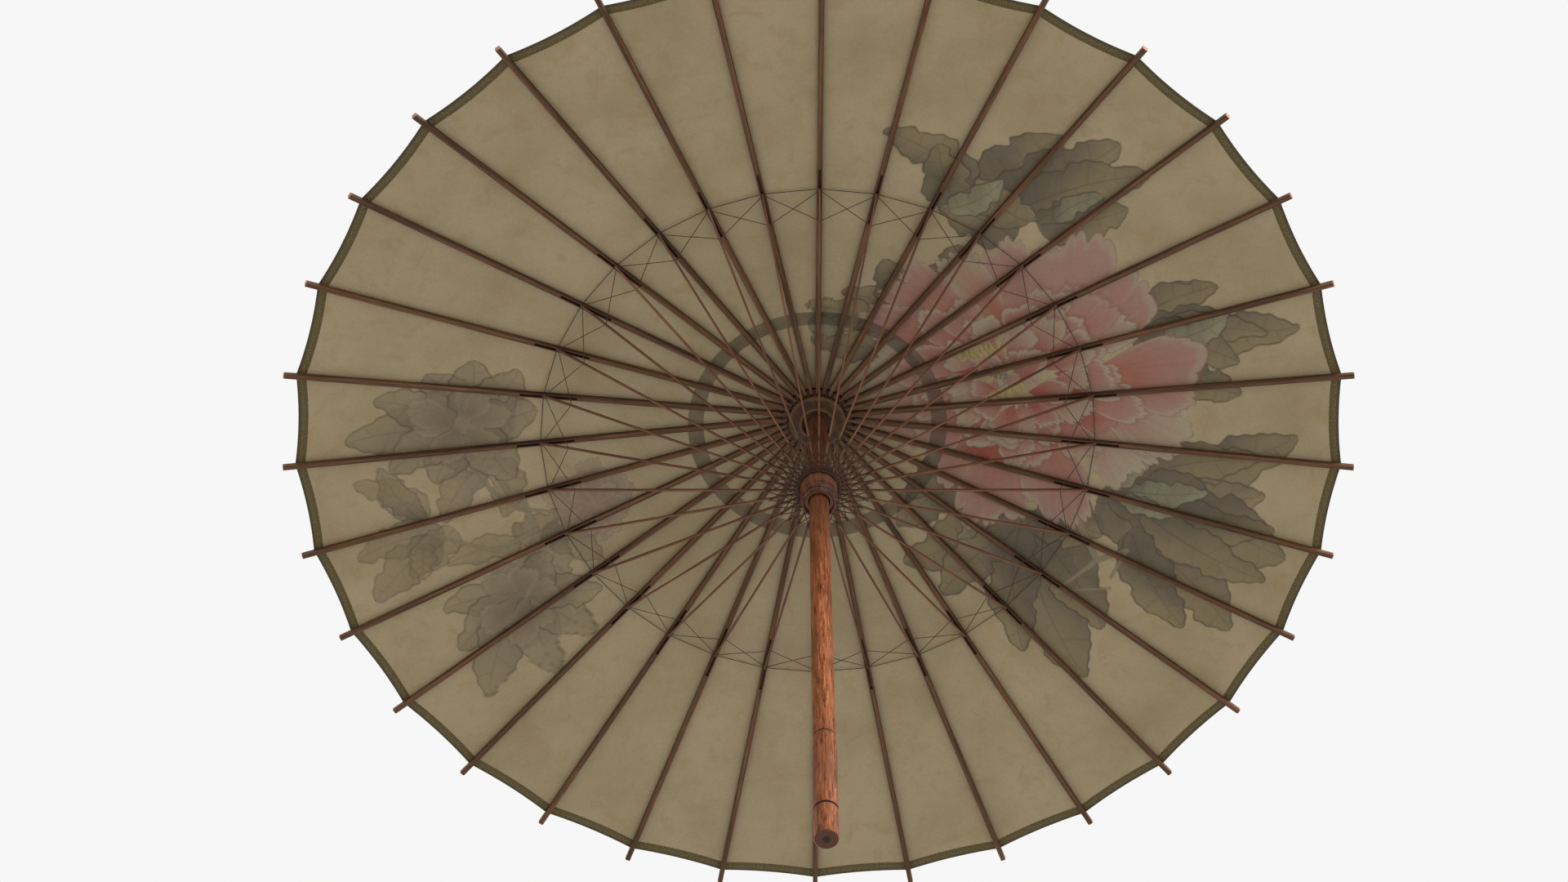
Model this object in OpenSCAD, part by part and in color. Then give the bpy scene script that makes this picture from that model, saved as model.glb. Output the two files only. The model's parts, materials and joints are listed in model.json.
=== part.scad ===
// Oil paper umbrella, open, standing on the end of its grip.
// Origin: centre of the grip's end face. +Z runs up the shaft. Rib 1 points along -Y.

/* [Ribs] */
// Number of long ribs, and of short ribs
rib_count = 32; // [32]
// Distance of a rib's tip from the shaft's axis
tip_r = 420; // [380:5:460]
// Height of the rib tips above the grip's end
tip_z = 468; // [440:2:500]
// Fall of a long rib from the hub to its tip, in degrees
rib_slope = 11.07; // [9:0.01:13]
// Width of a long rib
rib_w = 4.0; // [3.6:0.1:4.4]
// Height of a long rib
rib_h = 4.4; // [4:0.1:4.8]
// Distance of the rib to short rib joints from the axis
joint_r = 221; // [200:1:230]
// Width of a short rib
short_w = 1.5; // [1.4:0.1:1.6]
// Height of a short rib
short_h = 1.8; // [1.6:0.1:2]

/* [Shaft and grip] */
// Radius of the shaft
shaft_r = 7.7; // [7:0.1:7.8]
// Height of the shaft's top
shaft_top_z = 562; // [560:1:566]
// Largest radius of the grip
grip_r = 8.3; // [8:0.1:8.3]
// Height of the groove between the end cap and the grip
end_cap_z = 29.4; // [20:0.1:40]
// Height of the groove between the grip and the shaft
grip_z = 109; // [104:1:112]

/* [Hubs] */
// Radius of the circle of rib hinges in the upper hub
hinge_r = 25.2; // [25:0.1:26]
// Height of the runner's underside with the umbrella open
runner_z = 412; // [408:1:414]
// Height of the runner
runner_h = 28; // [26:1:30]
// Radius of the circle of short rib hinges in the runner
runner_hinge_r = 11.5; // [11:0.1:12]

/* [Canopy] */
// Radius of the paper's edge where it meets a rib
canopy_r = 411; // [400:1:415]
// How far the edge is drawn in half way between two ribs
scallop = 4.2; // [3:0.1:8]
// Thickness of the oiled paper
paper_t = 0.6; // [0.5:0.1:1]
// Width of the tape round the edge
tape_w = 7.5; // [5:0.5:10]

/* [Hidden] */
$fn = 64;
function numbered(name, k) = str(name, k < 10 ? "_0" : "_", k);

rib_step = 360 / rib_count;
gap = 0.3;                 // clearance between pieces that move past each other
thread_r = 0.3;
net_thread_r = 0.4;
net_out_r = 40;            // the net reaches from here
net_in_r = 15.6;           // to here

// Long rib, in its own frame: x runs out from the hinge, z is square to the rib and up
rib_axis = 0.8;            // the hinge and joint pins lie this far below the rib's middle
rib_low = -rib_h / 2 + rib_axis;
tongue_w = 2.4;
tongue_len = 6;
hinge_hole_r = 0.8;
pin_r = 0.6;
hinge_z = tip_z + (tip_r - hinge_r) * tan(rib_slope) - rib_axis / cos(rib_slope);
rib_len = (tip_r - hinge_r) / cos(rib_slope);
joint_u = (joint_r - hinge_r) / cos(rib_slope);
joint_z = hinge_z - joint_u * sin(rib_slope);
slot_w = 2.0;
slot_in = 27;              // length of the joint slot towards the hub
slot_out = 19;             // and towards the tip
slot_roof = 1.0;

// Short rib, in its own frame: x runs out from the runner's hinge
runner_hinge_z = runner_z + runner_h - 3.4;
short_rise = atan2(joint_z - runner_hinge_z, joint_r - runner_hinge_r);
short_len = norm([joint_r - runner_hinge_r, joint_z - runner_hinge_z]);
short_tongue_w = 1.3;
short_tongue_len = 11;
short_head_len = 26;
runner_wire_r = 0.4;
runner_slot_w = 1.8;
runner_bore_r = 8.5;
runner_cup = 3;            // depth of the hollow in the runner's underside, where the catch rests

// Upper hub
hub_wire_r = 0.5;
hub_bore_r = shaft_r + 0.05;
hub_slot_w = 3.0;
hub_slot_r = hinge_r - rib_h / 2 - 0.4;
hub_rim_r = 28.5;
flange_r = 23.4;
flange_z = hinge_z - 1.9;
neck_r = 14.7;
boss_top_z = hinge_z + 9;

// Canopy: a cone that lies just above the ribs
canopy_z = hinge_z + (rib_h / 2 + rib_axis + gap) / cos(rib_slope);   // underside, above the hinges
canopy_in_r = hub_slot_r + 1;
tape_in_r = canopy_r - scallop - tape_w;
paper_rise = paper_t / cos(rib_slope);
function cone_z(r) = canopy_z - (r - hinge_r) * tan(rib_slope);

// Catch under the runner, on the +Y side of the shaft
catch_w = 2.4;
catch_pivot = [4.6, 388];
catch_top = runner_z + runner_cup - 0.6;
catch_nose = 10.4;
catch_slot_w = 3.0;
catch_slot_back = -0.6;

function rib_angle(k) = (k - 1) * rib_step - 90;

// Points on an arc in the profile plane
function arc(centre, r, from, to, n = 6) =
    [for (i = [0:n]) let (a = from + (to - from) * i / n) centre + r * [cos(a), sin(a)]];

module turned(points, sides = 96) {
    rotate_extrude($fn = sides) polygon(points);
}

module rod(a, b, r, trim_a = 0, trim_b = 0) {
    d = b - a;
    len = norm(d);
    translate(a + d * trim_a / len)
        rotate([0, acos(d[2] / len), atan2(d[1], d[0])])
            cylinder(r = r, h = len - trim_a - trim_b, $fn = 16);
}

// A six-sided tube along a path
module sweep(path, r) {
    last = len(path) - 1;
    function ring(i) =
        let (d = path[min(i + 1, last)] - path[max(i - 1, 0)],
             side = cross(d, [0, 0, 1]) / norm(cross(d, [0, 0, 1])),
             up = cross(side, d) / norm(d))
        [for (a = [0:60:300]) path[i] + r * (cos(a) * side + sin(a) * up)];
    polyhedron([for (i = [0:last]) each ring(i)],
               concat([[for (a = [5:-1:0]) a], [for (a = [0:5]) 6 * last + a]],
                      [for (i = [0:last - 1], a = [0:5]) let (p = 6 * i + a, q = 6 * i + (a + 1) % 6)
                           each [[q, q + 6, p + 6], [q, p + 6, p]]]));
}

// A flat blade standing on edge along x, from a side profile
module blade(width) {
    rotate([90, 0, 0]) translate([0, 0, -width / 2]) linear_extrude(width) children();
}

module cross_pin(r, length) {
    rotate([90, 0, 0]) cylinder(r = r, h = length, center = true, $fn = 32);
}

module long_rib_wood() {
    edge = 0.5;
    half = rib_w / 2;
    top = rib_low + rib_h;
    difference() {
        union() {
            blade(tongue_w) {
                translate([0, rib_axis]) circle(r = rib_h / 2);
                translate([0, rib_low]) square([tongue_len + 1, rib_h]);
            }
            translate([tongue_len, 0, 0]) rotate([90, 0, 90])
                linear_extrude(rib_len - tongue_len)
                    polygon([[-half, rib_low + edge], [-half + edge, rib_low], [half - edge, rib_low],
                             [half, rib_low + edge], [half, top - edge], [half - edge, top],
                             [-half + edge, top], [-half, top - edge]]);
        }
        cross_pin(hinge_hole_r, 2 * rib_w);
        translate([joint_u, 0, 0]) cross_pin(pin_r + 0.05, 2 * rib_w);
        translate([joint_u - slot_in, -slot_w / 2, rib_low - 1])
            cube([slot_in + slot_out, slot_w, rib_h + 1 - slot_roof]);
    }
}

// One long rib with the pin of its joint
module long_rib(k) {
    color([0.36, 0.20, 0.15])
        rotate([0, 0, rib_angle(k)]) translate([hinge_r, 0, hinge_z]) rotate([0, rib_slope, 0]) {
            long_rib_wood();
            translate([joint_u, 0, 0]) cross_pin(pin_r, rib_w);
        }
}

module short_rib() {
    difference() {
        union() {
            blade(short_tongue_w) {
                circle(r = short_h / 2);
                translate([0, -short_h / 2]) square([short_tongue_len + 1, short_h]);
            }
            blade(short_w) {
                polygon([[short_tongue_len, -short_h / 2], [short_len - short_head_len, -short_h / 2],
                         [short_len, -1.2], [short_len, 1.2],
                         [short_len - short_head_len, short_h / 2], [short_tongue_len, short_h / 2]]);
                translate([short_len, 0]) circle(r = 1.2);
            }
        }
        cross_pin(runner_wire_r + 0.15, 4);
        translate([short_len, 0, 0]) cross_pin(pin_r + 0.15, 4);
    }
}

// Two neighbouring short ribs, which run from the runner to their long ribs
module short_ribs(pair) {
    color([0.40, 0.23, 0.16])
        for (k = [2 * pair - 1, 2 * pair])
            rotate([0, 0, rib_angle(k)]) translate([runner_hinge_r, 0, runner_hinge_z])
                rotate([0, -short_rise, 0]) short_rib();
}

module shaft() {
    socket_r = 4.95;
    color([0.66, 0.33, 0.20])
        difference() {
            union() {
                turned([[0, grip_z], [shaft_r - 0.7, grip_z], [shaft_r, grip_z + 1],
                        [shaft_r, shaft_top_z - 1], [shaft_r - 1, shaft_top_z], [0, shaft_top_z]]);
                translate([0, 0, grip_z - 37]) cylinder(r = socket_r, h = 38);
            }
            translate([-catch_slot_w / 2, catch_slot_back, catch_pivot[1] - 4])
                cube([catch_slot_w, shaft_r + 2, catch_top + 3 - catch_pivot[1] + 4]);
        }
}

module grip() {
    color([0.68, 0.35, 0.22])
        difference() {
            turned([[0, end_cap_z], [grip_r - 0.9, end_cap_z], [grip_r - 0.1, end_cap_z + 1],
                    [grip_r, end_cap_z + 5], [grip_r, grip_z - 22], [grip_r - 0.2, grip_z - 12],
                    [shaft_r + 0.3, grip_z - 7], [shaft_r, grip_z - 1], [shaft_r - 0.7, grip_z],
                    [0, grip_z]]);
            translate([0, 0, grip_z - 38]) cylinder(r = 5, h = 50);
            translate([0, 0, end_cap_z - 1]) cylinder(r = 4.05, h = 18);
        }
}

module end_cap() {
    r = grip_r - 0.15;
    color([0.64, 0.32, 0.20])
        turned([[0, 0], [r - 0.8, 0], [r, 0.8], [r, end_cap_z - 1], [r - 0.8, end_cap_z], [4, end_cap_z],
                [4, end_cap_z + 16], [0, end_cap_z + 16]]);
}

// Toothed hub that the long ribs hinge in
module upper_hub() {
    top_z = hinge_z + 3.0;
    color([0.22, 0.13, 0.09])
        difference() {
            union() {
                turned(concat([[hub_bore_r, flange_z - 2.6], [11.2, flange_z - 2.6], [12.2, flange_z - 6.1]],
                              arc([neck_r - 1.2, flange_z - 5.3], 1.2, -120, 0, 8),
                              [[neck_r, flange_z - 3.6]],
                              arc([flange_r - 1.4, flange_z - 1.4], 1.4, -80, 0),
                              [[flange_r, flange_z], [hub_slot_r - 1, flange_z],
                               [hub_slot_r - 1, boss_top_z - 3]],
                              arc([hub_slot_r - 4, boss_top_z - 3], 3, 0, 90),
                              [[hub_bore_r, boss_top_z]]));
                turned([[hub_slot_r - 2, flange_z + 0.4], [hub_rim_r - 0.8, flange_z + 0.4],
                        [hub_rim_r, flange_z + 1.2], [hub_rim_r, top_z - 0.9], [hub_slot_r - 2, top_z]]);
            }
            for (k = [1:rib_count])
                rotate([0, 0, rib_angle(k)])
                    translate([hub_slot_r, -hub_slot_w / 2, flange_z + 0.1])
                        cube([hub_rim_r, hub_slot_w, boss_top_z]);
            rotate_extrude($fn = 96) translate([hinge_r, hinge_z]) circle(r = hub_wire_r + 0.1, $fn = 24);
        }
}

module hub_wire() {
    color([0.30, 0.26, 0.22])
        rotate_extrude($fn = 96) translate([hinge_r, hinge_z]) circle(r = hub_wire_r, $fn = 24);
}

// Lacquered cap with a turned knob, over the paper's top
module crown_cap() {
    rim_r = 34;
    paper_top = paper_rise + gap;
    rim_z = cone_z(rim_r) + paper_top;
    inner_r = hub_slot_r + 1;
    color([0.20, 0.11, 0.08])
        turned(concat([[0, shaft_top_z + gap], [shaft_r + gap, shaft_top_z + gap],
                       [shaft_r + gap, boss_top_z + gap], [inner_r, boss_top_z + gap],
                       [inner_r, cone_z(inner_r) + paper_top],
                       [rim_r - 0.8, cone_z(rim_r - 0.8) + paper_top]],
                      arc([rim_r - 1.6, rim_z + 1.8], 1.6, -30, 60),
                      [[inner_r + 2, rim_z + 9], [15, rim_z + 15], [11.5, rim_z + 19]],
                      arc([9.7, rim_z + 20.2], 1.8, 0, 80),
                      [[3.4, rim_z + 24]],
                      arc([0, rim_z + 30], 5.6, -50, 90, 12)));
}

// Toothed runner that the short ribs hinge in
module runner() {
    top = runner_z + runner_h;
    color([0.42, 0.22, 0.15])
        difference() {
            turned(concat([[runner_bore_r, runner_z + runner_cup], [11.0, runner_z + runner_cup],
                           [11.5, runner_z + 0.4]],
                          arc([12.3, runner_z + 0.9], 0.9, -120, 0, 8),
                          [[13.2, runner_z + 3.0]],
                          arc([12.5, runner_z + 3.2], 0.7, 0, 70, 3),
                          [[12.2, runner_z + 4.8]],
                          arc([8.0, runner_z + 11.6], 6.5, -40, 0),
                          [[14.5, top - 0.6], [13.9, top], [runner_bore_r, top]]));
            for (k = [1:rib_count])
                rotate([0, 0, rib_angle(k)])
                    translate([runner_hinge_r - 1.5, -runner_slot_w / 2, runner_hinge_z - 1.5])
                        cube([10, runner_slot_w, 10]);
            rotate_extrude($fn = 96)
                translate([runner_hinge_r, runner_hinge_z]) circle(r = runner_wire_r + 0.1, $fn = 24);
        }
}

module runner_wire() {
    color([0.30, 0.26, 0.22])
        rotate_extrude($fn = 96)
            translate([runner_hinge_r, runner_hinge_z]) circle(r = runner_wire_r, $fn = 24);
}

// Tongue of split bamboo that springs out of the shaft under the runner
module catch() {
    y = catch_pivot[0];
    z = catch_pivot[1];
    color([0.62, 0.46, 0.26])
        rotate([90, 0, 90]) translate([0, 0, -catch_w / 2]) linear_extrude(catch_w) {
            polygon([[y - 1.3, z], [y + 1.6, z], [shaft_r - 0.3, z + 4], [catch_nose, catch_top - 5],
                     [catch_nose, catch_top], [y - 1.0, catch_top]]);
            translate([y, z]) circle(r = 1.6, $fn = 32);
        }
}

module cone_shell(thick, in_r, out_r) {
    turned([[in_r, cone_z(in_r)], [out_r, cone_z(out_r)],
            [out_r, cone_z(out_r) + thick], [in_r, cone_z(in_r) + thick]], 256);
}

module canopy() {
    color([0.62, 0.56, 0.43])
        cone_shell(paper_rise, canopy_in_r, tape_in_r - gap);
}

// Brocade tape folded round the paper's edge, which is drawn in between the ribs
module edge_tape() {
    bite_angle = rib_step / 2 - 0.25;    // the edge stays round where it crosses a rib
    half_chord = canopy_r * sin(bite_angle);
    sag = scallop - canopy_r * (1 - cos(bite_angle));
    bite_r = (half_chord * half_chord + sag * sag) / (2 * sag);
    color([0.33, 0.31, 0.12])
        difference() {
            cone_shell(paper_rise + 0.2, tape_in_r, canopy_r);
            for (k = [1:rib_count])
                rotate([0, 0, rib_angle(k) + rib_step / 2])
                    translate([canopy_r - scallop + bite_r, 0, tip_z - 20])
                        cylinder(r = bite_r, h = 60, $fn = 360);
        }
}

function on_circle(k, r, z) = [r * cos(rib_angle(k)), r * sin(rib_angle(k)), z];
function on_short(k, r, drop) =
    on_circle(k, r, runner_hinge_z + (r - runner_hinge_r) * tan(short_rise) - drop);

// Threads from joint to joint, and from each joint to the neighbouring short ribs
module joint_threads(k) {
    lace_r = 198;
    side = rib_w / 2 + gap;
    slant_side = side + 0.6;
    rod(on_circle(k, joint_r, joint_z + 0.9), on_circle(k + 1, joint_r, joint_z + 0.9), thread_r, side, side);
    rod(on_circle(k, joint_r - 1, joint_z), on_short(k + 1, lace_r, 0), thread_r, slant_side, short_w);
    rod(on_circle(k + 1, joint_r - 1, joint_z - 0.9), on_short(k, lace_r, 0.9), thread_r,
        slant_side, short_w);
}

// Threads of the net under the short ribs: each runs straight, seen from below, from short rib k
// to the rim of the runner, which it just touches
module net_threads(k) {
    turn = acos(net_in_r / net_out_r) / rib_step;
    for (way = [-1, 1])
        sweep([for (step = concat([0:5], [turn]))
                   on_short(k + way * step, net_in_r / cos((turn - step) * rib_step),
                            short_h / 2 + (way > 0 ? 0.6 : 1.5))], net_thread_r);
}

// Turns of thread round the runner's rim, above the short ribs
module rim_threads() {
    for (row = [[15, -0.3], [15.9, 0.4]])
        rotate_extrude($fn = 96)
            translate([row[0], runner_z + runner_h + row[1]]) circle(r = net_thread_r, $fn = 8);
}

module lacing() {
    color([0.28, 0.18, 0.10]) {
        for (k = [1:rib_count]) {
            joint_threads(k);
            net_threads(k);
        }
        rim_threads();
    }
}

shaft();
grip();
end_cap();
upper_hub();
hub_wire();
crown_cap();
canopy();
edge_tape();
lacing();
runner();
runner_wire();
catch();
for (k = [1:rib_count])
    long_rib(k);
for (p = [1:rib_count / 2])
    short_ribs(p);
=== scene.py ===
"""Oil paper umbrella, open and seen from below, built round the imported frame.

Metres, +Z up the shaft, long rib 1 along -Y. The paper, its edge tape, the short ribs and the threads are
made here. The paper and the tape are made as 32 strips, one for each long rib, that join half way between
two ribs, so that the umbrella can close.
"""
import json
import math

import bpy
import numpy as np
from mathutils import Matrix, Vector


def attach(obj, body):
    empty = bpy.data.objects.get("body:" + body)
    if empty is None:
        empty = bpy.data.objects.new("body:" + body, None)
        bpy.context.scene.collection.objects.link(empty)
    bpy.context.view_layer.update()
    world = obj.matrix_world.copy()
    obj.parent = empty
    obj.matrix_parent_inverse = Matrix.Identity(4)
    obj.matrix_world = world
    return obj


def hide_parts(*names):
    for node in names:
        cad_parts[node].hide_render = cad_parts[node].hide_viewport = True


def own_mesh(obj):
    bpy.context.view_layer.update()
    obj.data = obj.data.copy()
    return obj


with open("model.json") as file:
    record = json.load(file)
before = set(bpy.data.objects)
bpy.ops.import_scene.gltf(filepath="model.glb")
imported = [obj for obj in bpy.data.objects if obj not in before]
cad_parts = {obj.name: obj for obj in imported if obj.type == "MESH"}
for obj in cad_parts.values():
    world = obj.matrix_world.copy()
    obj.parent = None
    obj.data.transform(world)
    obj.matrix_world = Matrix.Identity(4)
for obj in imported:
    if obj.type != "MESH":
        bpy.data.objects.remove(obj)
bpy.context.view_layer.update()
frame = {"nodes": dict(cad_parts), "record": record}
MM = 0.001
RNG = np.random.default_rng(32)

# Places that the frame gives
BODIES = frame["record"]["behaviour"]["bodies"]
JOINTS = {j["name"]: j for j in frame["record"]["behaviour"]["joints"]}
RIBS = sum(name.startswith("long_rib_") for name in BODIES)
STEP = 2 * math.pi / RIBS
HINGE = Vector(JOINTS["rib_01_fold"]["pos_m"])
HINGE_R = math.hypot(HINGE.x, HINGE.y)
HINGE_Z = HINGE.z
RUNNER_HINGE_Z = JOINTS["short_ribs_01_fold"]["pos_m"][2]

# Sizes that part.scad has too
RIB_SLOPE = math.radians(11.07)
RIB_TOP = 3.0 * MM            # top of a long rib, above the line of its hinge
JOINT_R = 221 * MM
JOINT_Z = HINGE_Z - (JOINT_R - HINGE_R) * math.tan(RIB_SLOPE)
RUNNER_HINGE_R = 11.5 * MM
CANOPY_IN_R = 23.6 * MM
CANOPY_R = 411 * MM
SCALLOP = 4.2 * MM
TAPE_W = 7.5 * MM
PAPER_T = 0.6 * MM
PAPER_GAP = 0.3 * MM
LACE_R = 198 * MM             # the crossing threads meet the short ribs here
THREAD_R = 0.3 * MM
NET_THREAD_R = 0.4 * MM
NET_OUT_R = 40 * MM           # the net by the runner reaches from here
NET_IN_R = 15.6 * MM          # to here
RUNNER_TOP_Z = 440 * MM

# Sizes that only this script has
PAPER_SAG = 0.8 * MM
CROSS_LIFT = 0.9 * MM         # how far one thread passes over another at the joints and crossings
NET_TURN = math.acos(NET_IN_R / NET_OUT_R)  # angle that a net thread goes round the shaft
NET_STEPS = math.ceil(NET_TURN / STEP)      # the same in steps from rib to rib, rounded up
FINE_GRID = (390, 81)         # points down and across a strip of paper that is painted
COARSE_GRID = (140, 29)       # and one that is bare
TUBE_SIDES = 6

# How the soft pieces close
SHORT_SHARE = 0.25            # share of each crossing thread that goes with the short rib

SHORT_RISE = math.atan2(JOINT_Z - RUNNER_HINGE_Z, JOINT_R - RUNNER_HINGE_R)
SHORT_LENGTH = math.hypot(JOINT_Z - RUNNER_HINGE_Z, JOINT_R - RUNNER_HINGE_R)


def azimuth(k):
    """Angle of rib k, counted from 1, from +X."""
    return (k - 1) * STEP - math.pi / 2


def polar(angle, r, z):
    return Vector((r * math.cos(angle), r * math.sin(angle), z))


def tangent(angle):
    return (-math.sin(angle), math.cos(angle), 0)


def numbered(name, k):
    return f"{name}_{k:02d}"


def pair_of(k):
    """The number of the body that short rib k rides on, and the angle of its middle."""
    pair = (k + 1) // 2
    return pair, azimuth(2 * pair - 1) + STEP / 2


# ---------------------------------------------------------------- materials

class Shader:
    """A material's node tree, with the few nodes that this scene uses."""

    def __init__(self, name):
        self.material = bpy.data.materials.new(name)
        self.material.use_nodes = True
        self.tree = self.material.node_tree
        self.surface = self.tree.nodes["Principled BSDF"]

    def node(self, kind, inputs=None, **settings):
        made = self.tree.nodes.new("ShaderNode" + kind)
        for key, value in settings.items():
            setattr(made, key, value)
        for key, value in (inputs or {}).items():
            self.put(value, made.inputs[key])
        return made

    def put(self, value, socket):
        if isinstance(value, bpy.types.NodeSocket):
            self.tree.links.new(value, socket)
        else:
            socket.default_value = value

    def math(self, operation, a, b=0.0, c=0.0):
        return self.node("Math", {0: a, 1: b, 2: c}, operation=operation).outputs[0]

    def combine(self, x, y, z):
        return self.node("CombineXYZ", {0: x, 1: y, 2: z}).outputs[0]

    def separate(self, vector):
        return self.node("SeparateXYZ", {0: vector}).outputs

    def scaled(self, vector, scale):
        return self.node("VectorMath", {0: vector, 1: scale}, operation="MULTIPLY").outputs[0]

    def noise(self, vector, scale=1.0, detail=3.0, roughness=0.55, distortion=0.0):
        inputs = {"Vector": vector, "Scale": scale, "Detail": detail, "Roughness": roughness,
                  "Distortion": distortion}
        return self.node("TexNoise", inputs).outputs[0]

    def band(self, value, low, high):
        """0 below low, 1 above high, smooth between."""
        inputs = {"Value": value, "From Min": low, "From Max": high}
        return self.node("MapRange", inputs, interpolation_type="SMOOTHSTEP").outputs[0]

    def mix(self, amount, a, b):
        made = self.node("Mix", data_type="RGBA")
        self.put(amount, made.inputs[0])
        for socket, value in ((made.inputs[6], a), (made.inputs[7], b)):
            self.put(value if isinstance(value, bpy.types.NodeSocket) else (*value, 1), socket)
        return made.outputs[2]

    def ramp(self, value, stops):
        made = self.node("ValToRGB", {0: value})
        while len(made.color_ramp.elements) < len(stops):
            made.color_ramp.elements.new(0.5)
        for element, (place, colour) in zip(made.color_ramp.elements, stops):
            element.position = place
            element.color = (*colour, 1)
        return made.outputs[0]

    def bump(self, height, distance, strength=1.0):
        made = self.node("Bump", {"Height": height, "Distance": distance, "Strength": strength})
        self.put(made.outputs[0], self.surface.inputs["Normal"])

    def finish(self, colour, roughness, specular=0.2):
        self.put(colour, self.surface.inputs["Base Color"])
        self.put(roughness, self.surface.inputs["Roughness"])
        self.surface.inputs["Specular IOR Level"].default_value = specular
        return self.material


def srgb(r, g, b):
    """Linear colour of 8-bit screen values."""
    return tuple(((c / 255 + 0.055) / 1.055) ** 2.4 for c in (r, g, b))


def streaked(name, vector_of, tones, scale, streak=0.5, roughness=0.5, depth=0.12 * MM, extra=None):
    """Wood or bamboo: long streaks along the first coordinate, and fine pores."""
    s = Shader(name)
    vector = vector_of(s)
    broad = s.noise(s.scaled(vector, scale[0]), detail=4.0, distortion=0.3)
    fine = s.noise(s.scaled(vector, scale[1]), detail=3.0, roughness=0.7)
    pores = s.noise(s.scaled(vector, scale[2]), detail=2.0, roughness=0.8)
    value = s.math("MULTIPLY_ADD", fine, streak, s.math("MULTIPLY", broad, 1 - streak))
    colour = s.ramp(value, tones)
    colour = s.mix(s.band(pores, 0.58, 0.72), colour, tones[0][1])
    if extra:
        colour = extra(s, vector, colour)
    height = s.math("MULTIPLY_ADD", fine, 0.7, s.math("MULTIPLY", pores, -0.6))
    s.bump(height, depth)
    rough = s.math("MULTIPLY_ADD", fine, 0.25, roughness - 0.12)
    return s.finish(colour, rough)


def object_place(s):
    return s.separate(s.node("TexCoord").outputs["Object"])


def radius_of(s, x, y):
    return s.math("SQRT", s.math("MULTIPLY_ADD", x, x, s.math("MULTIPLY", y, y)))


def near(s, value, place, inside, outside, strength=1.0):
    """The strength within the first distance of the place, 0 beyond the second."""
    off = s.math("ABSOLUTE", s.math("SUBTRACT", value, place))
    return s.math("MULTIPLY", s.math("SUBTRACT", 1.0, s.band(off, inside, outside)), strength)


def along_rib(s):
    """Distance from the axis, place across the rib, and height square to it, for the rib at each point."""
    x, y, z = object_place(s)
    radius = radius_of(s, x, y)
    angle = s.math("DIVIDE", s.math("ARCTAN2", y, x), STEP)
    index = s.math("ROUND", angle)
    across = s.math("MULTIPLY", s.math("MULTIPLY", s.math("SUBTRACT", angle, index), STEP), radius)
    height = s.math("MULTIPLY_ADD", radius, math.tan(RIB_SLOPE), z)
    return s.combine(s.math("MULTIPLY_ADD", index, 1.7, radius), across, height)


def round_shaft(s):
    """Height first, then the two coordinates across the shaft."""
    x, y, z = object_place(s)
    return s.combine(z, x, y)


def by_grain(s):
    return s.node("Attribute", attribute_name="grain").outputs["Vector"]


def rib_ends_and_slot_shade(s, vector, colour):
    """The sawn ends of the ribs are paler, and painted shade darkens each rib round the slot at its joint.
    """
    x, y, z = object_place(s)
    radius = radius_of(s, x, y)
    end = s.band(radius, 0.4192, 0.4198)
    colour = s.mix(end, colour, srgb(168, 116, 88))
    # painted shade: the rib darkened within 35 mm of its joint, round the slot
    return s.mix(near(s, radius, 0.217, 0.0, 0.035, 0.55), colour, srgb(44, 26, 20))


def grip_stain_and_shade(s, vector, colour):
    """Cracks along the grain, painted shade on the upper shaft towards and above the runner, a stain on
    the grip, dark grooves, and end grain.
    """
    x, y, z = object_place(s)
    radius = radius_of(s, x, y)
    cracks = s.noise(s.scaled(vector, (62, 560, 560)), detail=2.0, roughness=0.6)
    colour = s.mix(s.math("MULTIPLY", s.band(cracks, 0.59, 0.66), 0.75), colour, srgb(40, 20, 12))
    colour = s.mix(s.math("MULTIPLY", s.band(cracks, 0.42, 0.34), 0.35), colour, srgb(190, 124, 84))
    patches = s.noise(s.scaled(vector, (30, 140, 140)), detail=3.0)
    colour = s.mix(s.math("MULTIPLY", s.band(patches, 0.52, 0.70), 0.35), colour, srgb(74, 40, 24))
    # painted shade: the shaft darkened from 0.28 m upward, where the canopy shades it
    upper_shaft_shade = s.math("MULTIPLY", s.band(z, 0.28, 0.43), 0.6)
    colour = s.mix(upper_shaft_shade, colour, srgb(72, 48, 34))
    blotch = s.noise(s.scaled(vector, (25, 60, 60)), detail=2.0)
    stain = s.math("MULTIPLY", near(s, z, 0.072, 0.006, 0.026), s.band(blotch, 0.35, 0.6))
    colour = s.mix(s.math("MULTIPLY", stain, 0.5), colour, srgb(104, 62, 50))
    for groove, inside, outside in ((0.0294, 0.7 * MM, 1.5 * MM), (0.109, 0.3 * MM, 0.8 * MM)):
        colour = s.mix(near(s, z, groove, inside, outside), colour, srgb(26, 14, 9))
    rings = s.math("SINE", s.math("MULTIPLY", radius, 5200.0))
    grain = s.mix(s.band(rings, -0.6, 0.8), srgb(58, 30, 20), srgb(98, 60, 42))
    grain = s.mix(s.band(radius, 1.6 * MM, 3.6 * MM), srgb(40, 24, 17), grain)
    end = s.math("SUBTRACT", 1.0, s.band(z, 0.1 * MM, 0.5 * MM))
    return s.mix(end, colour, grain)


def short_rib_slot_shade(s, vector, colour):
    """Painted shade where a short rib sits in its slot in the runner."""
    u, v, w = s.separate(vector)
    # painted shade: the first 4 to 12 mm of the rib, inside the runner's slot, darkened
    inside = s.math("SUBTRACT", 1.0, s.band(u, 4 * MM, 12 * MM))
    return s.mix(s.math("MULTIPLY", inside, 0.75), colour, srgb(26, 16, 11))


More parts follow.
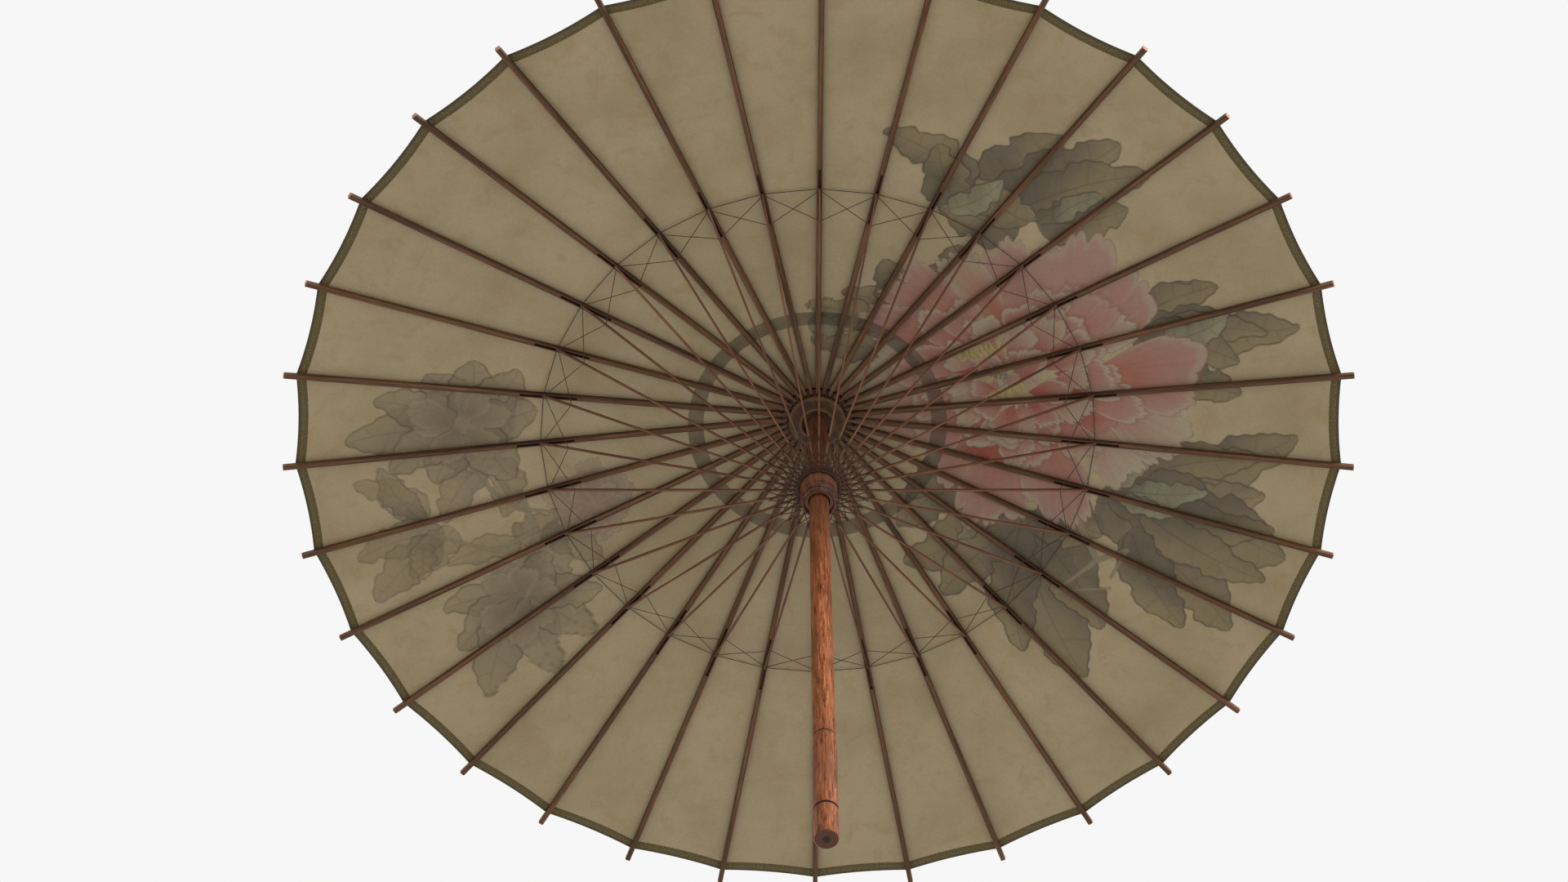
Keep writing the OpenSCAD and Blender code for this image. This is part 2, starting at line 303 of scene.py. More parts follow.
def runner_shade_and_highlights(s, vector, colour):
    """Painted shade in the slots and at the waist, a paler rim over the waist, and a painted highlight on
    the bead at the foot.
    """
    x, y, z = object_place(s)
    # painted shade: the waist under the bowl darkened
    colour = s.mix(near(s, z, 0.4168, 0.5 * MM, 2 * MM, 0.75), colour, srgb(30, 17, 11))
    # painted highlight: a pale line along the bead at the foot
    colour = s.mix(near(s, z, 0.4145, 0.4 * MM, 1.2 * MM, 0.4), colour, srgb(150, 98, 70))
    colour = s.mix(near(s, z, 0.4290, 2 * MM, 7 * MM, 0.35), colour, srgb(146, 92, 62))
    # painted shade: the top within 13 to 14 mm of the axis, where the slots are, darkened
    slots = s.math("SUBTRACT", 1.0, s.band(radius_of(s, x, y), 13.2 * MM, 14.2 * MM))
    slots = s.math("MULTIPLY", slots, s.band(z, 0.4348, 0.4354))
    return s.mix(s.math("MULTIPLY", slots, 0.85), colour, srgb(16, 10, 8))


def hub_highlights_and_shade(s, vector, colour):
    """The hub's underside: painted highlights at the edges of both discs, and painted shade between them
    and over the teeth.
    """
    x, y, z = object_place(s)
    radius = radius_of(s, x, y)
    # painted shade: the band between the two discs darkened
    colour = s.mix(near(s, radius, 18 * MM, 1 * MM, 3.5 * MM, 0.3), colour, srgb(38, 24, 14))
    # painted highlights: pale rings on the edges of both discs
    for ring, strength in ((22.2 * MM, 0.2), (14.0 * MM, 0.3)):
        colour = s.mix(near(s, radius, ring, 0.4 * MM, 1.8 * MM, strength), colour, srgb(128, 92, 54))
    # painted shade: everything outside 24 mm, over the teeth and their slots, darkened
    teeth = s.band(radius, 23.6 * MM, 24.4 * MM)
    return s.mix(s.math("MULTIPLY", teeth, 0.6), colour, srgb(22, 14, 10))


def make_materials():
    ribs = [(0.34, srgb(34, 21, 12)), (0.46, srgb(74, 49, 30)), (0.57, srgb(100, 67, 42)),
            (0.70, srgb(140, 99, 66))]
    shorts = [(0.32, srgb(52, 31, 19)), (0.5, srgb(96, 62, 42)), (0.70, srgb(134, 92, 64))]
    shaft = [(0.30, srgb(44, 24, 14)), (0.42, srgb(100, 54, 31)), (0.54, srgb(132, 76, 44)),
             (0.70, srgb(162, 98, 58))]
    runner = [(0.36, srgb(36, 23, 17)), (0.5, srgb(76, 49, 36)), (0.64, srgb(120, 79, 58))]
    hub = [(0.34, srgb(34, 22, 13)), (0.5, srgb(66, 46, 28)), (0.66, srgb(96, 68, 42))]
    lacquer = [(0.3, srgb(46, 26, 20)), (0.7, srgb(82, 48, 36))]
    bamboo = [(0.30, srgb(120, 92, 58)), (0.5, srgb(168, 134, 88)), (0.72, srgb(196, 164, 116))]
    rib_scale = ((9, 420, 420), (40, 1900, 1900), (90, 3800, 3800))
    shaft_scale = ((16, 160, 160), (60, 850, 850), (110, 2400, 2400))
    turned_scale = ((14, 190, 190), (40, 800, 800), (200, 2400, 2400))
    return {
        "rib": streaked("rib_bamboo", along_rib, ribs, rib_scale, extra=rib_ends_and_slot_shade),
        "short_rib": streaked("short_rib_bamboo", by_grain, shorts, rib_scale, extra=short_rib_slot_shade),
        "shaft": streaked("shaft_wood", round_shaft, shaft, shaft_scale, 0.6, 0.42, extra=grip_stain_and_shade),
        "runner": streaked("runner_wood", round_shaft, runner, turned_scale, 0.5, 0.45, extra=runner_shade_and_highlights),
        "hub": streaked("hub_wood", round_shaft, hub, turned_scale, 0.5, 0.55, extra=hub_highlights_and_shade),
        "lacquer": streaked("crown_lacquer", round_shaft, lacquer, turned_scale, 0.5, 0.25),
        "catch": streaked("split_bamboo", round_shaft, bamboo, shaft_scale, 0.6, 0.5),
        "paper": paper_material(),
        "tape": tape_material(),
        "thread": thread_material(),
        "wire": wire_material(),
    }


def paper_material():
    """Oiled paper: cloudy tan, with fibres, brown flecks and the painting over it."""
    s = Shader("oiled_paper")
    place = by_grain(s)
    clouds = s.noise(place, 14.0, 5.0, 0.6)
    blotches = s.noise(place, 55.0, 3.0, 0.6, 0.6)
    fibres = s.noise(s.scaled(place, (260, 1300, 1)), 1.0, 3.0, 0.7, 1.5)
    grain = s.noise(place, 1500.0, 2.0)
    weave = s.noise(place, 420.0, 2.0, 0.8)
    tans = [(0.3, srgb(139, 122, 91)), (0.5, srgb(148, 132, 102)), (0.7, srgb(154, 137, 108))]
    paper = s.ramp(clouds, tans)
    paper = s.mix(s.math("MULTIPLY", s.band(blotches, 0.50, 0.72), 0.45), paper, srgb(138, 117, 76))
    paint = s.node("Attribute", attribute_name="painting")
    worn = s.math("MULTIPLY_ADD", blotches, 0.25, 0.80)
    cover = s.math("MULTIPLY", paint.outputs["Alpha"], worn)
    colour = s.mix(cover, paper, paint.outputs["Color"])
    x, y, z = s.separate(place)
    radius = radius_of(s, x, y)
    ring = near(s, radius, 98 * MM, 5.8 * MM, 6.8 * MM, s.math("MULTIPLY_ADD", blotches, 0.3, 0.48))
    colour = s.mix(ring, colour, srgb(58, 49, 34))
    shade = s.math("MULTIPLY_ADD", fibres, 0.14, s.math("MULTIPLY_ADD", grain, 0.10, 0.73))
    shade = s.math("MULTIPLY_ADD", weave, 0.26, shade)
    tone = s.combine(shade, shade, shade)
    made = s.node("VectorMath", {0: colour, 1: tone}, operation="MULTIPLY")
    s.bump(s.math("MULTIPLY_ADD", fibres, 0.6, grain), 0.08 * MM, 0.7)
    return s.finish(made.outputs[0], 0.62, 0.25)


def tape_material():
    """Brocade: a small gold diamond pattern on olive, with a dark selvedge and a gold line."""
    s = Shader("brocade_tape")
    u, v, height = s.separate(by_grain(s))
    a = s.math("SINE", s.math("MULTIPLY", s.math("ADD", u, v), 2600.0))
    b = s.math("SINE", s.math("MULTIPLY", s.math("SUBTRACT", u, v), 2600.0))
    diamonds = s.band(s.math("MULTIPLY", a, b), -0.1, 0.45)
    threads = s.math("SINE", s.math("MULTIPLY", u, 9000.0))
    weave = s.noise(s.scaled(by_grain(s), (700, 2600, 1)), 1.0, 3.0, 0.7)
    colour = s.mix(diamonds, srgb(56, 47, 19), srgb(104, 87, 38))
    colour = s.mix(s.band(weave, 0.52, 0.68), colour, srgb(152, 132, 76))
    colour = s.mix(s.math("MULTIPLY", s.band(v, 4.6 * MM, 6.6 * MM), 0.75), colour, srgb(48, 38, 20))
    colour = s.mix(near(s, v, 1.6 * MM, 0.2 * MM, 1.0 * MM, 0.4), colour, srgb(60, 48, 24))
    s.bump(s.math("MULTIPLY_ADD", threads, 0.3, diamonds), 0.15 * MM)
    return s.finish(colour, 0.6, 0.4)


def thread_material():
    s = Shader("waxed_thread")
    twist = s.noise(s.scaled(by_grain(s), (1400, 900, 900)), 1.0, 2.0)
    colour = s.ramp(twist, [(0.35, srgb(34, 21, 14)), (0.65, srgb(74, 49, 34))])
    s.bump(twist, 0.05 * MM)
    return s.finish(colour, 0.65, 0.3)


def wire_material():
    s = Shader("iron_wire")
    rust = s.noise(s.node("TexCoord").outputs["Object"], 900.0, 4.0)
    colour = s.ramp(rust, [(0.4, srgb(86, 80, 74)), (0.65, srgb(96, 66, 44))])
    s.surface.inputs["Metallic"].default_value = 0.8
    return s.finish(colour, s.math("MULTIPLY_ADD", rust, 0.5, 0.25))


# ---------------------------------------------------------------- mesh helpers

def add_mesh(name, points, quads, material, attributes=(), sharp=40):
    """A smooth-shaded mesh object. attributes holds (name, kind, values for each point)."""
    mesh = bpy.data.meshes.new(name)
    points = np.asarray(points, np.float32)
    quads = np.asarray(quads, np.int32)
    corners = quads.shape[1]
    mesh.vertices.add(len(points))
    mesh.vertices.foreach_set("co", points.ravel())
    mesh.loops.add(quads.size)
    mesh.loops.foreach_set("vertex_index", quads.ravel())
    mesh.polygons.add(len(quads))
    mesh.polygons.foreach_set("loop_start", np.arange(0, quads.size, corners, dtype=np.int32))
    mesh.polygons.foreach_set("use_smooth", np.ones(len(quads), bool))
    mesh.update(calc_edges=True)
    for label, kind, values in attributes:
        made = mesh.attributes.new(label, kind, "POINT")
        field = "color" if "COLOR" in kind else "vector"
        made.data.foreach_set(field, np.asarray(values, np.float32).ravel())
    mesh.set_sharp_from_angle(angle=math.radians(sharp))
    mesh.materials.append(material)
    made = bpy.data.objects.new(name, mesh)
    bpy.context.scene.collection.objects.link(made)
    return made


def grid_faces(rows, columns, first=0, closed=False, flip=False):
    """Quads of a rows by columns grid of points. closed joins the last column to the first."""
    index = np.arange(rows * columns).reshape(rows, columns) + first
    right = np.roll(index, -1, axis=1) if closed else index[:, 1:]
    left = index if closed else index[:, :-1]
    quads = np.stack([left[:-1], right[:-1], right[1:], left[1:]], axis=-1).reshape(-1, 4)
    return quads[:, ::-1] if flip else quads


def closed_sheet(low, high):
    """Points and faces of the thin closed solid between two grids."""
    rows, columns = low.shape[:2]
    index = np.arange(rows * columns).reshape(rows, columns)
    border = np.concatenate([index[0, :-1], index[:-1, -1], index[-1, :0:-1], index[:0:-1, 0]])
    following = np.roll(border, -1)
    lift = rows * columns
    wall = np.stack([border, border + lift, following + lift, following], axis=-1)
    faces = np.concatenate([grid_faces(rows, columns), grid_faces(rows, columns, lift, flip=True), wall])
    return np.concatenate([low.reshape(-1, 3), high.reshape(-1, 3)]), faces


class Bundle:
    """Collects swept tubes and makes one mesh of them."""

    def __init__(self):
        self.points = []
        self.faces = []
        self.grain = []
        self.count = 0

    def sweep(self, path, sections, up=(0, 0, 1), offset=0.0):
        """sections is a list of closed outlines (n, 2), one for each point of the path."""
        path = np.array([tuple(p) for p in path], float)
        step = np.gradient(path, axis=0)
        step /= np.linalg.norm(step, axis=1)[:, None]
        side = np.cross(step, up)
        side /= np.linalg.norm(side, axis=1)[:, None]
        top = np.cross(side, step)
        outline = np.array(sections)
        rings = path[:, None] + side[:, None] * outline[..., :1] + top[:, None] * outline[..., 1:]
        rows, columns = outline.shape[:2]
        length = np.concatenate([[0], np.cumsum(np.linalg.norm(np.diff(path, axis=0), axis=1))])
        along = np.broadcast_to(length[:, None, None] + offset, (rows, columns, 1))
        faces = grid_faces(rows, columns, self.count, closed=True, flip=True)
        centres = self.count + rows * columns + np.arange(2)
        ring = np.arange(columns)
        first = self.count + ring
        last = self.count + (rows - 1) * columns + ring
        self.faces.append(faces)
        self.caps(first, centres[0], True)
        self.caps(last, centres[1], False)
        self.points.append(rings.reshape(-1, 3))
        self.points.append(np.array([rings[0].mean(axis=0), rings[-1].mean(axis=0)]))
        self.grain.append(np.concatenate([along, outline], axis=-1).reshape(-1, 3))
        self.grain.append(np.array([[offset, 0, 0], [length[-1] + offset, 0, 0]]))
        self.count += rows * columns + 2

    def caps(self, ring, centre, at_start):
        """Closes an end with quads from its centre, each over two of the outline's edges."""
        a = ring[0::2]
        b = np.roll(ring, -1)[0::2]
        c = np.roll(ring, -2)[0::2]
        middle = np.full(len(a), centre)
        quads = np.stack([a, b, c, middle] if at_start else [middle, c, b, a], axis=-1)
        self.faces.append(quads)

    def tube(self, path, radius, offset=0.0):
        angle = np.arange(TUBE_SIDES) * 2 * math.pi / TUBE_SIDES
        ring = radius * np.stack([np.cos(angle), np.sin(angle)], axis=-1)
        whole = path[0] - path[-1]
        steep = abs(whole.z) >= 0.9 * whole.length
        self.sweep(path, [ring] * len(path), (1, 0, 0) if steep else (0.1, 0.2, 1), offset)

    def knot(self, centre, radius):
        """A small lump of thread."""
        turns = np.linspace(-1, 1, 7)
        path = [centre + Vector((0, 0, radius * t)) for t in turns]
        angle = np.arange(8) * math.pi / 4
        ring = np.stack([np.cos(angle), np.sin(angle)], axis=-1)
        self.sweep(path, [ring * radius * math.sqrt(max(0.05, 1 - t * t)) for t in turns], (1, 0, 0))

    def make(self, name, material, sharp=50):
        points = np.concatenate(self.points)
        faces = np.concatenate(self.faces)
        grain = [("grain", "FLOAT_VECTOR", np.concatenate(self.grain))]
        return add_mesh(name, points, faces, material, grain, sharp)


def rounded(half_width, half_height, corner):
    """Outline of a rounded rectangle, 12 points."""
    points = []
    for cx, cy, start in ((1, 1, 0), (-1, 1, 90), (-1, -1, 180), (1, -1, 270)):
        for step in (0, 45, 90):
            a = math.radians(start + step)
            points.append((cx * (half_width - corner) + corner * math.cos(a),
                           cy * (half_height - corner) + corner * math.sin(a)))
    return points


# ---------------------------------------------------------------- painting

class Painting:
    """Colours points of the paper, in millimetres from the shaft, seen from below: x right, y down."""

    OUTLINE = np.array(srgb(52, 43, 32))
    DARK_LEAF = np.array(srgb(80, 71, 57))
    LEAF = np.array(srgb(122, 106, 74))
    PALE_LEAF = np.array(srgb(123, 119, 91))

    def __init__(self, x, y):
        self.x = x
        self.y = y
        self.colour = np.zeros((len(x), 3))
        self.cover = np.zeros(len(x))
        self.strength = 1.0

    def near(self, centre, reach):
        close = (np.abs(self.x - centre[0]) < reach) & (np.abs(self.y - centre[1]) < reach)
        return np.flatnonzero(close)

    def lay(self, index, amount, colour):
        """Lays a colour over what is there, amount from 0 to 1."""
        a = self.strength * np.clip(amount, 0, 1)[:, None]
        under = self.cover[index][:, None] * (1 - a)
        total = a + under
        mixed = (colour * a + self.colour[index] * under) / np.maximum(total, 1e-6)
        self.colour[index] = mixed
        self.cover[index] = total[:, 0]

    def stroke(self, points, width, colour, amount=0.7):
        """A line through a few points, thinner towards its end."""
        points = np.array(points, float)
        index = self.near(points.mean(axis=0), np.ptp(points, axis=0).max() / 2 + width + 2)
        px, py = self.x[index], self.y[index]
        best = np.full(len(index), 1e9)
        for part, (a, b) in enumerate(zip(points, points[1:])):
            d = b - a
            t = np.clip(((px - a[0]) * d[0] + (py - a[1]) * d[1]) / (d @ d), 0, 1)
            taper = 1 - 0.5 * (part + t) / (len(points) - 1)
            best = np.minimum(best, np.hypot(px - a[0] - t * d[0], py - a[1] - t * d[1]) / taper)
        self.lay(index, amount * np.clip(width / 2 - best + 0.5, 0, 1), np.array(srgb(*colour)))

    def leaf(self, base, tip, width, tone=0.4, bend=0.0, lobes=2.5, dark=DARK_LEAF, light=LEAF):
        """A broad pointed leaf with a few lobes, dark veins and a thin outline."""
        base, tip = np.array(base, float), np.array(tip, float)
        length = np.hypot(*(tip - base))
        ex, ey = (tip - base) / length
        index = self.near((base + tip) / 2, 0.6 * length + width)
        px, py = self.x[index] - base[0], self.y[index] - base[1]
        u = (px * ex + py * ey) / length
        within = (u > 0) & (u < 1)
        u = np.clip(u, 0, 1)
        v = py * ex - px * ey - 4 * bend * length * u * (1 - u)
        side = np.sign(v)
        phase = (lobes * u + 0.25 * side + tone * 2.7) % 1
        notch = np.exp(-(phase / 0.10) ** 2) + np.exp(-((1 - phase) / 0.26) ** 2)
        half = 0.5 * width * np.sin(math.pi * u ** 0.72) ** 0.62 * (1 - 0.26 * notch)
        half += (0.7 * np.sin(u * length * 0.55 + side) + 0.5 * np.sin(u * length * 0.21)) * (u < 0.97)
        depth = half - np.abs(v)
        shade = tone + 0.7 * (u - 0.5) + 0.30 * side * np.abs(v) / (half + 1)
        shade += 0.16 * np.sin(7 * u + 0.09 * v + 9 * tone)
        fill = dark + (light - dark) * np.clip(shade, 0, 1)[:, None]
        self.lay(index, 0.90 * np.clip(depth / 0.8 + 0.5, 0, 1) * within, fill)
        ribbing = np.abs(((u * lobes * 2 - 0.8 * np.abs(v) / (width + 1) + 0.25 * side) % 1) - 0.5)
        veins = np.exp(-(ribbing * length / (2 * lobes) / 0.8) ** 2) * (depth > 1.5) * (u > 0.1) * 0.22
        middle = np.exp(-(v / (0.4 + 0.5 * (1 - u))) ** 2) * (depth > 0) * 0.4
        rim = np.exp(-(depth / 0.8) ** 2) * 0.8
        self.lay(index, np.maximum(np.maximum(veins, middle), rim) * within, self.OUTLINE)

    def petal(self, base, heading, length, spread, deep, pale, ruffles=5, seed=0.0, rim=1.0):
        """A fan-shaped petal with a ruffled pale rim. heading and spread are in degrees, 90 is down."""
        index = self.near(base, length * 1.15)
        px, py = self.x[index] - base[0], self.y[index] - base[1]
        reach = np.hypot(px, py)
        turn = (np.degrees(np.arctan2(py, px)) - heading + 180) % 360 - 180
        t = np.clip(turn / spread, -1, 1)
        place = ruffles * (t + 1) / 2 + 0.22 * np.sin(5 * t + seed)
        wave = np.abs(np.sin(math.pi * place + seed)) ** 0.45
        fingers = np.abs(np.sin(2.6 * math.pi * place + 2 * seed)) ** 0.5
        uneven = 1 + 0.07 * np.sin(4.3 * t + 2.1 * seed)
        outline = length * uneven * (1 - np.abs(t) ** 2.8) ** 0.36 * (0.80 + 0.12 * wave + 0.06 * fingers)
        depth = outline - reach
        within = np.abs(turn) < spread
        part = np.clip(reach / np.maximum(outline, 1e-3), 0, 1)
        deep, pale = np.array(srgb(*deep)), np.array(srgb(*pale))
        streaks = 0.05 * np.sin(turn * 0.9 + seed * 3) + 0.03 * np.sin(turn * 2.3 + seed)
        blend = np.clip((part - 0.22) * 1.25 + streaks + 0.1 * np.sin(3 * t + seed), 0, 1)
        fill = deep + (pale - deep) * blend[:, None]
        edge_width = (2.2 + 0.05 * length) * (0.6 + 0.8 * wave)
        light = rim * 0.85 * np.clip((edge_width - depth) / (0.5 * edge_width), 0, 1)[:, None]
        fill = fill * (1 - light) + np.array(srgb(*CREAM)) * light
        self.lay(index, 0.95 * np.clip(depth / 0.8 + 0.5, 0, 1) * within, fill)
        line = np.exp(-(depth / 0.6) ** 2) * 0.5 * within
        self.lay(index, line, np.array(srgb(98, 78, 66)))
        shadow = 0.30 * np.exp(-((depth + 1.6) / 1.6) ** 2) * (np.abs(turn) < spread * 0.97) * (depth < 0)
        self.lay(index, shadow * (self.cover[index] > 0.5), 0.75 * deep)

    def burst(self, rng, centre, count, radius, length, spread, deep, pale, start=0.0, squeeze=1.0,
              rim=1.0):
        """Uneven petals all round a centre."""
        for n in range(count):
            heading = start + 360 * n / count + rng.uniform(-14, 14)
            a = math.radians(heading)
            place = radius * rng.uniform(0.7, 1.25)
            base = (centre[0] + place * math.cos(a), centre[1] + squeeze * place * math.sin(a))
            size = length * rng.uniform(0.8, 1.2)
            heading += rng.uniform(-18, 18)
            opening = spread * rng.uniform(0.85, 1.25)
            ruffles = int(rng.integers(3, 7))
            self.petal(base, heading, size, opening, deep, pale, ruffles, seed=rng.uniform(0, 6), rim=rim)


RED = (128, 58, 46)
CORAL = (134, 76, 62)
ROSE = (132, 88, 78)
BLUSH = (140, 108, 95)
CREAM = (144, 130, 107)
GREY = (100, 87, 67)
SILVER = (124, 110, 84)
DUSK = (120, 96, 80)
FADED = (133, 115, 94)


def paint_leaves(p):
    """Broad leaves round the large bloom."""
    top = [((118, -226), (47, -273), 36, 0.35, 0.06), ((108, -200), (88, -262), 40, 0.25, -0.05),
           ((125, -215), (180, -272), 52, 0.3, -0.06), ((135, -215), (222, -268), 56, 0.2, 0.05),
           ((150, -205), (246, -242), 46, 0.45, -0.06), ((165, -195), (232, -212), 44, 0.3, 0.08),
           ((150, -180), (92, -205), 44, 0.35, 0.06), ((160, -195), (118, -232), 34, 0.75, -0.1)]
    inner = [((72, -95), (18, -125), 34, 0.25, 0.08), ((72, -105), (50, -156), 40, 0.2, 0.0),
             ((60, -85), (-10, -112), 30, 0.7, 0.06), ((64, -75), (-6, -78), 34, 0.45, -0.08),
             ((90, -130), (108, -172), 34, 0.3, 0.1)]
    right = [((232, -105), (290, -152), 46, 0.3, 0.08), ((240, -110), (304, -150), 34, 0.5, -0.06),
             ((250, -112), (368, -120), 46, 0.3, 0.06), ((250, -100), (345, -112), 30, 0.6, -0.06),
             ((245, -95), (326, -84), 46, 0.35, -0.08), ((280, -75), (330, -55), 34, 0.4, 0.08)]
    lower = [((242, 35), (376, -22), 58, 0.3, 0.07), ((250, 30), (350, 2), 40, 0.5, -0.05),
             ((240, 45), (356, 34), 50, 0.6, 0.06), ((225, 55), (376, 90), 84, 0.3, -0.05),
             ((235, 50), (366, 66), 46, 0.15, 0.06), ((250, 80), (338, 160), 60, 0.35, -0.06),
             ((255, 80), (300, 162), 44, 0.2, 0.06), ((262, 60), (362, 112), 40, 0.5, 0.05)]
    bottom = [((165, 70), (224, 216), 70, 0.3, 0.06), ((170, 80), (236, 170), 50, 0.2, -0.05),
              ((165, 85), (172, 196), 46, 0.25, 0.06), ((158, 70), (72, 124), 52, 0.3, -0.06),
              ((150, 95), (104, 150), 40, 0.55, 0.05), ((130, 40), (66, 92), 44, 0.3, 0.05),
              ((180, 60), (232, 84), 56, 0.15, 0.05), ((110, 30), (74, 66), 32, 0.45, 0.0)]
    for row in bottom + lower + right + top + inner:
        p.leaf(*row)
    for row in (((98, -204), (138, -232), 26, 0.8, 0.1), ((178, -198), (214, -222), 20, 0.6, -0.1),
                ((268, -98), (314, -126), 28, 0.8, 0.1), ((-8, -92), (34, -98), 22, 0.8, 0.1),
                ((250, 42), (312, 36), 26, 0.7, 0.05), ((236, 40), (266, 8), 20, 0.9, 0.0),
                ((244, 50), (286, 62), 18, 0.9, 0.0), ((150, 66), (116, 100), 18, 0.6, 0.0)):
        p.leaf(*row, light=p.PALE_LEAF)


def paint_faint_leaves(p):
    """Leaves of the spray on the other side, which shows faintly."""
    for row in (((-312, 60), (-368, 22), 30, 0.6, 0.08), ((-318, 62), (-348, 10), 26, 0.45, -0.05),
                ((-300, 75), (-370, 92), 34, 0.5, 0.08), ((-305, 80), (-358, 132), 38, 0.4, 0.05),
                ((-292, 72), (-330, 112), 32, 0.85, 0.0), ((-268, 15), (-300, 66), 32, 0.4, 0.08),
                ((-255, 10), (-252, 66), 30, 0.6, -0.1), ((-246, 84), (-200, 66), 34, 0.6, 0.1),
                ((-240, 92), (-300, 104), 26, 0.8, 0.08), ((-222, 78), (-176, 112), 34, 0.45, -0.06),
                ((-216, 84), (-206, 128), 30, 0.5, 0.06), ((-318, 82), (-320, 116), 22, 0.95, 0.0),
                ((-272, -16), (-244, -2), 20, 0.9, 0.0), ((-228, 96), (-250, 126), 16, 0.9, 0.0)):
        p.leaf(*row)


def paint_stems(p):
    stem = (120, 108, 84)
    for points, width in (
        ([(205, 60), (228, 108), (214, 122)], 6), ([(228, 108), (252, 96), (240, 122)], 4),
        ([(214, 122), (196, 140), (240, 132)], 3),
        ([(-240, 45), (-228, 80), (-236, 112), (-240, 140)], 5), ([(-228, 80), (-260, 96), (-300, 80)], 4),
        ([(-255, 30), (-240, 60), (-205, 66)], 4), ([(-280, 0), (-262, 40), (-240, 60)], 4),
    ):
        p.stroke(points, width + 1.6, (84, 74, 58), 0.5)
        p.stroke(points, width, stem, 0.8)


def paint_great_bloom(p):
    """The large pink peony: outer petals listed one by one, uneven ones inside them, and stamens."""
    rng = np.random.default_rng(7)
    outer = [((190, -60), -88, 132, 25, ROSE, BLUSH, 3), ((205, -75), -60, 90, 30, CORAL, BLUSH, 3),
             ((160, -90), -108, 94, 24, ROSE, BLUSH, 6), ((150, -95), -128, 84, 24, CORAL, CREAM, 6),
             ((128, -92), -146, 92, 26, CORAL, BLUSH, 7), ((118, -80), -168, 86, 26, RED, BLUSH, 6),
             ((112, -55), 176, 78, 34, ROSE, CREAM, 7), ((112, -25), 150, 74, 34, ROSE, BLUSH, 6),
             ((140, -20), 122, 82, 28, CORAL, BLUSH, 5), ((150, -15), 96, 108, 26, CORAL, BLUSH, 4),
             ((172, -20), 72, 104, 28, CORAL, BLUSH, 5), ((205, -30), 48, 84, 30, ROSE, CREAM, 4),
             ((215, -45), 28, 88, 34, ROSE, CREAM, 4), ((212, -62), -4, 94, 38, CORAL, BLUSH, 3),
             ((190, -85), -28, 60, 38, CORAL, CREAM, 5)]
    for n, row in enumerate(outer):
        p.petal(*row, seed=n * 1.3, rim=0.7)
    for row in (((150, -22), 92, 58, 58, RED, RED, 9), ((196, -50), 60, 56, 46, RED, CORAL, 6),
                ((186, -85), -60, 62, 40, CORAL, BLUSH, 5)):
        p.petal(*row, seed=2.4, rim=0.25)
    p.burst(rng, (154, -52), 12, 40, 54, 30, CORAL, BLUSH, 12, 0.85)
    p.burst(rng, (152, -54), 12, 30, 46, 28, RED, BLUSH, 27, 0.85)
    p.burst(rng, (160, -50), 11, 24, 40, 30, CORAL, CREAM, 5, 0.8)
    p.burst(rng, (140, -62), 9, 15, 32, 32, ROSE, CREAM, 20, 0.9)
    p.burst(rng, (156, -40), 8, 13, 30, 32, RED, BLUSH, 40, 0.9)
    paint_stamens(p, rng)


def paint_stamens(p, rng):
    """Short strokes: gold ones above and below, and blue-grey ones between."""
    gold, teal, olive = (150, 134, 78), (82, 92, 82), (112, 102, 56)

    def dash(x, y, a, length, width, colour, amount):
        end = (x + length * math.cos(a), y + length * math.sin(a))
        p.stroke([(x, y), end], width, colour, amount)

    for n in range(34):
        along = n / 33
        x, y = 112 + 32 * along, -64 - 13 * along + rng.uniform(-2, 2)
        dash(x, y, -1.9 + rng.uniform(-0.5, 0.5), 9, 1.5, gold if n % 3 else olive, 0.9)
    for n in range(44):
        x, y = rng.normal(148, 6), rng.normal(-52, 8)
        dash(x, y, rng.uniform(-2.6, 0.4), 6, 1.4, teal if n % 4 else gold, 0.85)
    for n in range(30):
        along = n / 29
        x, y = 136 + 26 * along, -34 - 14 * along + rng.uniform(-2, 2)
        dash(x, y, 1.0 + rng.uniform(-0.6, 0.6), 8, 1.5, gold if n % 3 else olive, 0.9)


